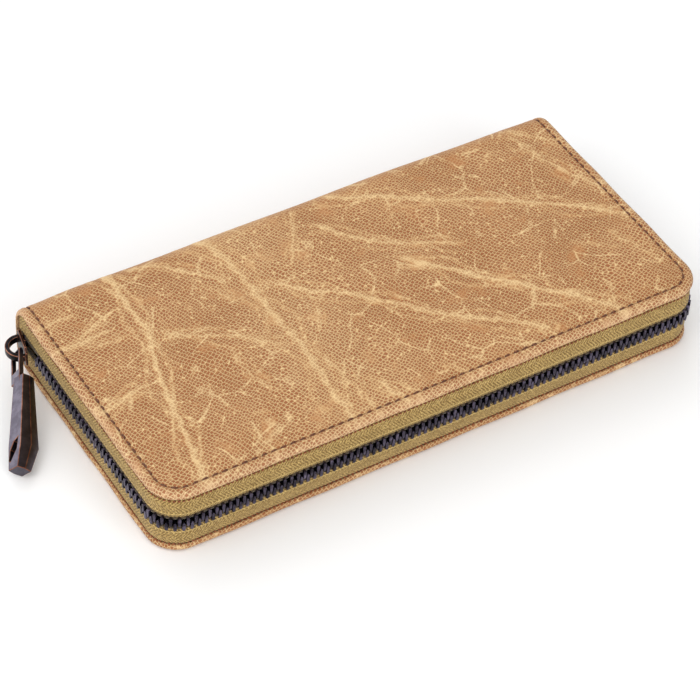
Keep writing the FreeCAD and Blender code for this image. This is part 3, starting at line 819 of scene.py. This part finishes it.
def cover_leather():
    """Pull-up leather: brown pores in a cream net, pale veins and worn, redder patches."""
    g = Graph("cover_leather", Specular_IOR_Level=0.3, Sheen_Weight=0.05, Sheen_Roughness=0.5)
    place = g.attribute("flat", "Vector")
    vein, rim, seam, flesh = (g.attribute(name) for name in ("vein", "rim", "seam", "flesh"))
    bend = g.drift(place, 26.0)
    warped = g.warped(place, bend, 6.0)
    warped = g.warped(warped, g.drift(place, 9.0), 1.0)
    warped = g.warped(warped, g.drift(place, 2.4, 0.5), 0.22)
    inputs = {"Vector": warped, "Angle": PORE_TURN}
    turned = g.node("ShaderNodeVectorRotate", inputs, rotation_type="Z_AXIS")
    edge_gap = g.cells(g.scaled(turned, PORE_STRETCH), PORE_GAP, "DISTANCE_TO_EDGE", PORE_RANDOM)
    speck = g.noise(place, 0.45, 2.0, 0.6)
    ragged = edge_gap + (speck - 0.5) * 0.1
    pore = g.step(ragged, 0.05, 0.27)
    net = g.step(ragged, 0.1, -0.01)

    patch = g.noise(place, 24.0, 3.0, 0.55)
    cloud = g.noise(g.moved(place, 71.0, 33.0), 11.0, 3.0, 0.6)
    mottle = g.noise(g.moved(place, 13.0, 57.0), 3.0, 3.0, 0.6)
    x, y = g.axes(place)
    # A paler stripe from front to back, left of the middle, with ragged sides.
    bulge_and_pale_stripe = g.step(g.math("ABSOLUTE", x - PALE_STRIPE_X) + patch * 20.0, PALE_STRIPE_W, PALE_STRIPE_CORE)
    # A darker band with fainter pores, set by distance from the middle of the spine.
    dark_band = g.step(g.math("ABSOLUTE", y - SKIN_END), *DARK_BAND_SPAN, 0.0, 0.65)
    calm = g.math("MAXIMUM", g.step(cloud, 0.54, 0.7, 0.0, 0.6), dark_band)
    crackle = g.cells(g.warped(place, bend, 22.0), CRACKLE_GAP, "DISTANCE_TO_EDGE")
    patchy = g.step(g.noise(g.moved(place, 7.0, 91.0), 11.0, 2.0, 0.5), 0.4, 0.58)
    crease = g.step(crackle, 0.05, 0.0, 0.0, 0.75) * patchy
    halo = g.step(vein, 0.02, 0.3)
    raised = g.math("MAXIMUM", vein, crease)
    uneven = (mottle - 0.5) * 1.3 * g.step(raised, 0.0, 0.5)
    soft_vein = g.step(raised + uneven, 0.05, 0.85)
    grain = (1.0 - halo * 0.15) * ((1.0 - calm) * (1.0 - soft_vein * 0.35))

    colour = g.coats(
        TAN_LIGHT,
        (g.step(patch, 0.38, 0.64), TAN_DARK),
        (g.step(cloud, 0.54, 0.74, 0.0, 0.6), TAN_RED),
        (g.step(mottle, 0.5, 0.8, 0.0, 0.3), TAN_LIGHT),
        (dark_band * 0.7, TAN_DARK),
        (bulge_and_pale_stripe * 0.4, TAN_PALE),
        (halo * 0.6, TAN_GOLD),
        (soft_vein * 0.9, VEIN_CREAM),
        (g.step(rim, 0.1, 1.0) * 0.65, RIM_CREAM),
        (net * (grain * 0.85), NET_CREAM),
        (pore * (grain * g.step(rim, 0.3, 1.0, 0.85, 0.8)), PORE_BROWN),
        (g.step(speck, 0.6, 0.8, 0.0, 0.2), PORE_BROWN),
        # Painted shade along the stitch groove, uneven in strength.
        (seam * g.step(mottle, 0.35, 0.65, 0.15, 0.6), SEAM_SHADE),
        (flesh, g.mix(g.step(speck, 0.3, 0.7), FLESH_DARK, FLESH_LIGHT)),
    )
    g.bump((net * 0.35 - pore * 0.6) * (grain + 0.15) + speck * 0.3, 0.2, 0.7)
    return g.done(colour, pore * 0.15 + 0.5)


def inner_leather():
    """Smoother leather of the card pockets and the coin pocket."""
    g = Graph("inner_leather", Specular_IOR_Level=0.3)
    place = g.attribute("flat", "Vector")
    pore = g.step(g.cells(place, 0.8, "F1", 0.9), 0.38, 0.1)
    patch = g.noise(place, 24.0, 3.0, 0.6)
    speck = g.noise(place, 0.3, 2.0, 0.6)
    g.bump(speck * 0.4 - pore * 0.5, 0.12, 0.6)
    colour = g.coats(INNER_LIGHT, (g.step(patch, 0.35, 0.68), INNER_DARK), (pore * 0.4, INNER_PORE))
    return g.done(colour, pore * 0.15 + 0.5)


# ---- fabric, thread and board ----
def woven(name, light, dark, yarn, relief):
    """Plain weave: two sets of round yarns over and under each other, with uneven dye."""
    g = Graph(name, Specular_IOR_Level=0.15, Sheen_Weight=0.25, Sheen_Roughness=0.6)
    place = g.attribute("flat", "Vector")
    loose = g.scaled(g.noise(place, 3.0, 1.0, 0.5, "Color"), (0.15, 0.15, 0))
    x, y = g.axes(g.vector("ADD", place, loose))
    over = g.wave(x, 2 * yarn) * g.wave(y, 2 * yarn)
    speck = g.noise(place, 0.4, 2.0, 0.6)
    patch = g.noise(place, 12.0, 3.0, 0.6)
    colour = g.coats(
        dark,
        (g.step(over, -0.7, 0.7), light),
        (g.step(speck, 0.4, 0.75) * 0.35, dark),
        (g.step(patch, 0.45, 0.75, 0.0, 0.3), dark),
    )
    g.bump(g.math("ABSOLUTE", over) + speck * 0.4, relief, 0.8)
    return g.done(colour, 0.85)


TAPE_DARK = tone(122, 96, 48)
TAPE_LIGHT = tone(186, 153, 94)
TAPE_PALE = tone(225, 195, 124)
TAPE_STITCH = tone(52, 40, 22)
TAPE_SHADE = tone(70, 52, 30)
TWILL_PITCH = 1.1
WEFT_PITCH = 0.6
TAPE_DASH = 1.15
# Where the twill turns back, from this height on and this far apart.
CHEVRON = (2.9, 2.6)


def tape_fabric():
    """Herringbone zip tape, with a pale thread and a dark stitched line beside the teeth."""
    g = Graph("tape_fabric", Specular_IOR_Level=0.2, Sheen_Weight=0.1, Sheen_Roughness=0.5)
    place = g.attribute("flat", "Vector")
    s, z = g.axes(place)
    fold = g.math("PINGPONG", z - CHEVRON[0], CHEVRON[1])
    twill = g.wave(s + g.noise(place, 2.5, 2.0, 0.6) * 0.8 + fold * 0.85, TWILL_PITCH)
    weft = g.wave(z + s * 0.35, WEFT_PITCH)
    speck = g.noise(g.scaled(place, (1.0, 0.6, 1.0)), 0.5, 1.0, 0.5)
    patch = g.noise(g.scaled(place, (1.0, 3.0, 1.0)), 9.0, 3.0, 0.6)
    weave = twill * 0.7 + weft * 0.3 + (speck - 0.5) * 1.2
    pale = g.step(z, 8.35, 8.6) * g.step(z, 8.98, 8.75)
    dark = g.step(z, 9.0, 9.15) * g.step(z, 9.5, 9.35) * g.step(g.wave(s, TAPE_DASH), -0.1, 0.5)
    colour = g.coats(
        TAPE_DARK,
        (g.step(weave, -0.6, 0.7), TAPE_LIGHT),
        (g.step(speck, 0.52, 0.64, 0.0, 0.45), TAPE_PALE),
        (g.step(speck, 0.47, 0.36, 0.0, 0.4), TAPE_DARK),
        (g.step(patch, 0.45, 0.72, 0.0, 0.3), TAPE_DARK),
        (pale * 0.45, TAPE_PALE),
        (dark * 0.75, TAPE_STITCH),
        (g.step(z, 3.3, 2.7, 0.0, 0.6), TAPE_SHADE),
    )
    g.bump(weave, 0.14, 0.8)
    return g.done(colour, 0.8)


HOLE_SHADE = tone(46, 27, 18)


def thread(name, light, dark):
    """Waxed thread, with painted shade where it goes down into its holes."""
    g = Graph(name, Specular_IOR_Level=0.35)
    fibre = g.noise(g.object_mm(), 0.5, 2.0, 0.6)
    # Painted shade at both ends of each stitch.
    hole = g.step(g.attribute("hole"), 0.55, 0.95)
    g.bump(fibre, 0.08, 0.7)
    return g.done(g.coats(dark, (g.step(fibre, 0.35, 0.7), light), (hole, HOLE_SHADE)), 0.6)


def board():
    """Fibre board."""
    g = Graph("stiff_board", Specular_IOR_Level=0.2)
    fibre = g.noise(g.object_mm(), 1.4, 4.0, 0.65)
    g.bump(fibre, 0.1, 0.5)
    return g.done(g.mix(fibre, tone(120, 104, 84), tone(176, 158, 130)), 0.85)


# ---- metal ----
# Painted dark reflection, for metal facets that face away from their pale side.
PAINTED_DARK_REFLECTION = tone(24, 22, 25)


def metal(name, light, dark, rough, shade=False, painted_light_side=None):
    """Plated metal with fine scratches and a cloudy tarnish, and a painted reflection: facets that face
    away from one given side are painted darker.
    """
    g = Graph(name, Metallic=1.0)
    place = g.object_mm()
    cloud = g.noise(place, 3.0, 4.0, 0.65)
    scratch = g.noise(g.scaled(place, (1.0, 1.0, 9.0)), 0.9, 3.0, 0.6)
    colour = g.mix(g.step(cloud, 0.35, 0.68), dark, light)
    if shade:
        colour = g.mix(g.attribute("shade") * 0.4, colour, dark)
    # Painted reflection: facets that turn away from the given side are painted darker.
    if painted_light_side:
        away = g.step(g.facing("Normal", painted_light_side), 0.96, 0.85, 0.0, 0.62)
        colour = g.mix(away, colour, PAINTED_DARK_REFLECTION)
    g.bump(scratch, 0.05, 0.5)
    return g.done(colour, scratch * 0.18 + rough)


COVER = cover_leather()
INNER = inner_leather()
LINING = woven("lining_cloth", tone(150, 120, 84), tone(104, 80, 54), 0.5, 0.12)
GUSSET = woven("gusset_cloth", tone(140, 110, 76), tone(96, 74, 50), 0.5, 0.12)
TAPE = tape_fabric()
CORD = woven("cord_yarn", tone(96, 78, 50), tone(52, 40, 26), 0.6, 0.15)
THREAD = thread("edge_thread", tone(122, 74, 48), tone(84, 48, 32))
HEM_THREAD = thread("hem_thread", tone(150, 78, 42), tone(104, 52, 28))
INNER_THREAD = thread("pocket_thread", tone(150, 106, 66), tone(110, 74, 46))
BOARD = board()
TEETH_METAL = metal("teeth_metal", tone(108, 100, 121), tone(42, 37, 47), 0.28, shade=True)
BLACKENED = metal("blackened_metal", tone(48, 44, 48), tone(20, 18, 20), 0.3)
# The puller's facets that face up and to the left keep the pale metal; its other facets get painted dark
# reflection.
GUNMETAL = metal("gunmetal", tone(140, 134, 149), tone(114, 108, 122), 0.26, painted_light_side=(-0.7, 0.2, 0.69))
COPPER = metal("worn_copper", tone(186, 134, 110), tone(124, 80, 62), 0.36)
COIN_METAL = metal("coin_metal", tone(160, 150, 150), tone(104, 96, 98), 0.3)


def finish(piece, material, slot, body=None, node=None):
    """Gives a piece its material, its body and the CAD node that it replaces; slot is not used."""
    piece.data.materials.clear()
    piece.data.materials.append(material)
    if node:
        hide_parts(node)
    if body:
        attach(piece, body)
    return piece


def line_length(line):
    """Length of a line of points."""
    return float(np.hypot(*np.diff(line, axis=0).T).sum())


# ---- covers ----
FOLD_BLEND = 3.5
for side in SIDES:
    cover = f"{side}_cover"
    skin = finish(cover_skin(side), COVER, "cover_leather")
    fold_z = SPINE_R if side == "lower" else THICK - SPINE_R
    toward = 1 if side == "lower" else -1
    end = Vector((0, BACK_Y, fold_z + toward * FOLD_BLEND)) * MM
    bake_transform(skin)
    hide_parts(f"{side}_cover_leather")
    if side == "upper":
        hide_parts("spine_leather")
    finish(edge_stitches(side), THREAD, "edge_thread", cover, f"{side}_cover_stitching")
    finish(hem_stitches(side), HEM_THREAD, "edge_thread", cover)

# ---- main zip ----
CORD_START_Y = 41.5
CORD_END_Y = 34.5
LOOKS = {"tape": (TAPE, "zip_tape"), "cord": (CORD, "zip_tape"), "teeth": (TEETH_METAL, "zip_teeth")}


def zip_piece(kind, side, part):
    """The left part or the rest of one side's tape, cord or teeth."""
    name = f"{side}_zip_{kind}_{part}"
    if kind == "tape":
        return ribbon(name, side, tape_section(), TAPE_END_Y, TAPE_END_Y, part)
    if kind == "cord":
        section = oval(TAPE_INSET, TAPE_TOP + CORD_H / 2, CORD_W, CORD_H)
        return ribbon(name, side, section, CORD_START_Y, CORD_END_Y, part)
    return teeth(name, side, part, 0.0 if side == "lower" else 0.5)


for side in SIDES:
    for kind, look in LOOKS.items():
        for part in ("left", "round"):
            piece = finish(zip_piece(kind, side, part), *look, f"{side}_cover", f"{side}_zip_{kind}")
            if kind == "tape":
                run = zip_range(TAPE_END_Y, TAPE_END_Y, part)
                line_length(tape_line())
            if part == "left":
                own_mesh(piece)

# ---- inside ----
LEAVES = (1, 2, 3, 4)
LEAF_R = (3.0, 1.0)
LEAF_DIP = 0.12
# How much of a card pocket shows before the next one covers it.
LEAF_SHOWN = 11
MOUTH_INSET = 1.7
# How far the mouth's and the middle seam's rows stay from the leather's edges at their two ends.
MOUTH_ENDS = (3, 2.5)
MIDDLE_ENDS = (3.4, 1.4)
THREAD_SINK = 0.02


def leaf_dip(plan):
    """Card pocket leather is sewn down the middle, and drawn down a little at both ends."""
    x = plan[:, 0]
    return -LEAF_DIP * np.exp(-((x / 0.9) ** 2)) - 0.1 * smooth((np.abs(x) - 86) / 2)


def leaf_stitches(side):
    """Thread along each card pocket's mouth and down the seam between its two halves."""
    centres, tangents = [], []
    for leaf in LEAVES:
        low, high = cad_size(f"lower_card_leaf_{leaf}")
        mouth_x = np.arange(low[0] + MOUTH_ENDS[0], high[0] - MOUTH_ENDS[1], STITCH_PITCH)
        end_y = high[1] if leaf == LEAVES[-1] else low[1] + LEAF_SHOWN
        middle_y = np.arange(low[1] + MIDDLE_ENDS[0], end_y - MIDDLE_ENDS[1], STITCH_PITCH)
        centres += [(x, low[1] + MOUTH_INSET, high[2] - THREAD_SINK) for x in mouth_x]
        centres += [(0.0, y, high[2] - LEAF_DIP) for y in middle_y]
        tangents += [(1.0, 0.0, 0.0)] * len(mouth_x) + [(0.0, 1.0, 0.0)] * len(middle_y)
    up = (0, 0, 1) if side == "lower" else (0, 0, -1)
    return stitches(f"{side}_pocket_stitches", on_side(centres, side), tangents, up, *POCKET_STITCH)


COIN_WALL_T = 0.8
COIN_SEAM_W = 2.6
COIN_STITCH_INSET = 3.6


def coin_wall(side):
    """One wall of the coin pocket, drawn in to the middle along its sides and back."""
    low, high = cad_size("lower_coin_wall")
    high[2] = low[2] + COIN_WALL_T

    def lift(plan):
        """The seam's curve, from flat out to the middle plane."""
        gap = np.minimum(high[0] - np.abs(plan[:, 0]), high[1] - plan[:, 1])
        bend = np.clip(1 - gap / COIN_SEAM_W, 0, 1)
        return 1.1 * (1 - np.sqrt(1 - 0.98 * bend**2))

    return soft_plate(f"{side}_coin_leather", low, high, 2.5, 1.5, lift, lambda p: on_side(p, side))


def coin_stitches(side):
    """Thread round the coin pocket's closed sides."""
    low, high = cad_size("lower_coin_wall")
    side_x, back_y = high[:2] - COIN_STITCH_INSET
    y = np.arange(low[1] + 2, back_y, STITCH_PITCH)
    x = np.arange(low[0] + COIN_STITCH_INSET + 2, side_x - 1, STITCH_PITCH)
    edges = [(sign * side_x, v) for sign in (-1, 1) for v in y] + [(v, back_y) for v in x]
    centres = [(a, b, low[2] + THREAD_SINK) for a, b in edges]
    tangents = [(0.0, 1.0, 0.0)] * (2 * len(y)) + [(1.0, 0.0, 0.0)] * len(x)
    up = (0, 0, -1) if side == "lower" else (0, 0, 1)
    return stitches(f"{side}_coin_stitches", on_side(centres, side), tangents, up, *POCKET_STITCH)


def coin_teeth(side):
    """Small teeth on the coin pocket's front edge."""
    low, high = cad_size("lower_coin_teeth")
    block, block_faces = tooth_block(high[1] - low[1], low[2], high[2], COIN_TOOTH_SCALE)
    first = cad_size(f"{side}_coin_teeth")[0][0] + COIN_TOOTH_W / 2
    middle_y = (low[1] + high[1]) / 2
    lumps = []
    for x in np.arange(first, high[0], COIN_PITCH):
        shade = np.full(len(block), 0.5 + 0.5 * math.sin(3.3 * x))
        lumps.append((block + (x, middle_y, 0), block_faces, shade))
    points, faces, shade = stack(lumps)
    return make_piece(f"{side}_coin_tooth_row", on_side(points, side), faces, sharp=40, shade=shade)


GUSSET_TUCK = 1.6
GUSSET_HALF_T = 0.2
GUSSET_GAP = 0.25
# 1 would fold the wall to a sharp V, and more rounds it.
GUSSET_ROUND = 1.4


def gusset_line():
    """The V of the folded end wall, in x and z, from the cover to the coin pocket."""
    low, high = cad_size("lower_right_gusset")
    t = np.linspace(0, 1, 25)
    fold = 1 - np.abs(2 * t - 1) ** GUSSET_ROUND
    sewn_x = cad_size("lower_coin_wall")[1][0] - GUSSET_TUCK
    edge_x = (high[0] - GUSSET_GAP) * (1 - t) + sewn_x * t
    x = edge_x - (high[0] - low[0] - 2 * GUSSET_GAP) * fold
    rise = high[2] - low[2] - GUSSET_HALF_T
    return np.stack([x, low[2] + GUSSET_HALF_T + rise * t], -1)


def gusset(side, end):
    """V-folded cloth wall at one end, between the cover and the coin pocket."""
    low, high = cad_size("lower_right_gusset")
    line = gusset_line()
    t = np.linspace(0, 1, len(line))
    run = np.gradient(line, axis=0)
    normal = np.stack([-run[:, 1], run[:, 0]], -1) / np.hypot(*run.T)[:, None] * GUSSET_HALF_T
    ring = np.vstack([line + normal, (line - normal)[::-1]])
    y = np.linspace(low[1], high[1], 50)
    sway = 0.25 * np.sin(y * 0.35)[:, None] * np.sin(math.pi * np.concatenate([t, t[::-1]]))
    y = np.broadcast_to(y[:, None], sway.shape)
    points = np.stack([ring[:, 0] + sway, y, ring[:, 1] + 0 * sway], -1)
    length = np.cumsum(np.hypot(*(ring - np.roll(ring, 1, 0)).T))
    flat = np.stack([points[..., 1], np.broadcast_to(length, sway.shape), 0 * sway], -1)
    points = points.reshape(-1, 3) * ((1 if end == "right" else -1), 1, 1)
    index = np.arange(len(y) * len(ring)).reshape(len(y), len(ring))
    faces = quads(np.hstack([index, index[:, :1]]))
    for hem in (index[0], index[-1]):
        faces += quads(np.stack([hem[:len(line)], hem[:len(line) - 1:-1]]))
    return make_piece(f"{side}_{end}_gusset_cloth", on_side(points, side), faces, flat=flat.reshape(-1, 3))


for side in SIDES:
    cover = f"{side}_cover"
    mirror = partial(on_side, side=side)
    low, high = cad_size("lower_cover_lining")
    piece = soft_plate(f"{side}_lining_cloth", low, high, LINING_R, 0.5, place=mirror)
    finish(piece, LINING, "lining_fabric", cover, f"{side}_cover_lining")
    for leaf in LEAVES:
        low, high = cad_size(f"lower_card_leaf_{leaf}")
        piece = soft_plate(f"{side}_card_pocket_{leaf}", low, high, *LEAF_R, leaf_dip, mirror)
        finish(piece, INNER, "inner_leather", cover, f"{side}_card_leaf_{leaf}")
    finish(leaf_stitches(side), INNER_THREAD, "edge_thread", cover)
    finish(coin_wall(side), INNER, "inner_leather", "spine", f"{side}_coin_wall")
    finish(coin_stitches(side), INNER_THREAD, "edge_thread", "spine")
    low, high = cad_size("lower_coin_tape")
    piece = soft_plate(f"{side}_coin_tape_cloth", low, high, 0.4, 0.4, place=mirror)
    finish(piece, GUSSET, "zip_tape", "spine", f"{side}_coin_tape")
    finish(coin_teeth(side), COIN_METAL, "coin_metal", "spine", f"{side}_coin_teeth")
    for end in ("left", "right"):
        wall = finish(gusset(side, end), GUSSET, "lining_fabric")
        low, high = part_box(f"{side}_{end}_gusset")
        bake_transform(wall)
        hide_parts(f"{side}_{end}_gusset")

low, high = cad_size("spine_lining")
standing = [0, 2, 1]
piece = soft_plate(
    "spine_lining_cloth", low[standing], high[standing], 0.5, 0.5, place=lambda p: p[:, standing]
)
finish(piece, LINING, "lining_fabric", "spine", "spine_lining")

# ---- metal and boards kept from the CAD ----
def worn_edges(node, face, edge, width, least_turn=28):
    """The CAD node with its edges rounded and worn down to another colour."""
    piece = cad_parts[node]
    piece.data.materials.clear()
    for material in (face, edge):
        piece.data.materials.append(material)
    weld = piece.modifiers.new("weld", "WELD")
    weld.merge_threshold = 0.02 * MM
    flats = piece.modifiers.new("flats", "DECIMATE")
    flats.decimate_type = "DISSOLVE"
    flats.angle_limit = math.radians(3)
    bevel = piece.modifiers.new("round", "BEVEL")
    bevel.use_clamp_overlap = False
    bevel.width = width * MM
    bevel.segments = 3
    bevel.limit_method = "ANGLE"
    bevel.angle_limit = math.radians(least_turn)
    bevel.material = 1


for node in ("slider_body", "slider_bail"):
    worn_edges(node, BLACKENED, COPPER, 0.2)
worn_edges("zip_puller", GUNMETAL, COPPER, 0.18, least_turn=12)
for node in ("bottom_stop", "lower_top_stop", "upper_top_stop"):
    worn_edges(node, TEETH_METAL, TEETH_METAL, 0.15)
for node in ("coin_slider_body", "coin_slider_bail", "coin_puller", "coin_stops"):
    worn_edges(node, COIN_METAL, COIN_METAL, 0.12)
for node in ("lower_cover_board", "upper_cover_board"):
    worn_edges(node, BOARD, BOARD, 0.1)

# ---- studio ----
CAMERA_TARGET = Vector((-9.81, -9.04, 12.0)) * MM
CAMERA_AZIMUTH = math.radians(-33.68)
CAMERA_ELEVATION = math.radians(45.03)
CAMERA_ROLL = math.radians(3.61)
CAMERA_DISTANCE = 880.4 * MM
CAMERA_LENS = 145.2


def place_camera():
    """The camera, turned round its target by azimuth and elevation, then rolled."""
    a, e, roll = CAMERA_AZIMUTH, CAMERA_ELEVATION, CAMERA_ROLL
    back = Vector((math.sin(a) * math.cos(e), -math.cos(a) * math.cos(e), math.sin(e)))
    right = Vector((math.cos(a), math.sin(a), 0))
    up = back.cross(right)
    across = right * math.cos(roll) + up * math.sin(roll)
    upward = up * math.cos(roll) - right * math.sin(roll)
    data = bpy.data.cameras.new("camera")
    data.lens = CAMERA_LENS
    data.sensor_width = 36.0
    data.clip_start = 0.01
    camera = new_object("camera", data)
    turn = Matrix((across, upward, back)).transposed().to_4x4()
    camera.matrix_world = Matrix.Translation(CAMERA_TARGET + back * CAMERA_DISTANCE) @ turn
    bpy.context.scene.camera = camera


# Places and sizes in metres, powers in watts.
LIGHT_SIZE = 0.9
LIGHTS = {
    "key_light": ((-0.7, -0.2, 1.0), 3.6),
    "fill_light": ((0.1, -1.1, 0.6), 5.0),
    "back_light": ((0.2, 0.9, 0.8), 2.0),
}
FLOOR_SIZE = 6
DARK_CARD = (0.97, -0.2, 0.1)


def area_light(name, place, power):
    """A square soft light that points at the wallet."""
    data = bpy.data.lights.new(name, "AREA")
    data.energy = power
    data.size = LIGHT_SIZE
    light = new_object(name, data)
    light.location = place
    light.rotation_euler = (Vector((0, 0, 0)) - Vector(place)).to_track_quat("-Z", "Y").to_euler()


def studio():
    """Pale floor at the lowest point, soft lights, and a bright surround with a dark card on the right."""
    bpy.ops.mesh.primitive_plane_add(size=FLOOR_SIZE, location=(0, 0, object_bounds()[0][2]))
    floor = bpy.context.object
    floor.name = "floor"
    g = Graph("floor_white", Specular_IOR_Level=0.1)
    fibre = g.noise(g.node("ShaderNodeTexCoord", {}, "Object"), 0.8, 2.0, 0.5)
    floor.data.materials.append(g.done(g.mix(fibre, tone(246, 246, 246), tone(252, 252, 252)), 0.9))
    g = Graph("surround", bpy.data.worlds, "Background", Color=(1, 1, 1, 1))
    fade = {"Value": g.facing("Generated", DARK_CARD), "From Min": 0.25, "From Max": 0.8,
            "To Min": 1.0, "To Max": 0.08}
    g.give(Strength=g.node("ShaderNodeMapRange", fade))
    bpy.context.scene.world = g.owner
    for name, (place, power) in LIGHTS.items():
        area_light(name, place, power)
    bpy.context.scene.view_settings.view_transform = "Standard"


place_camera()
studio()
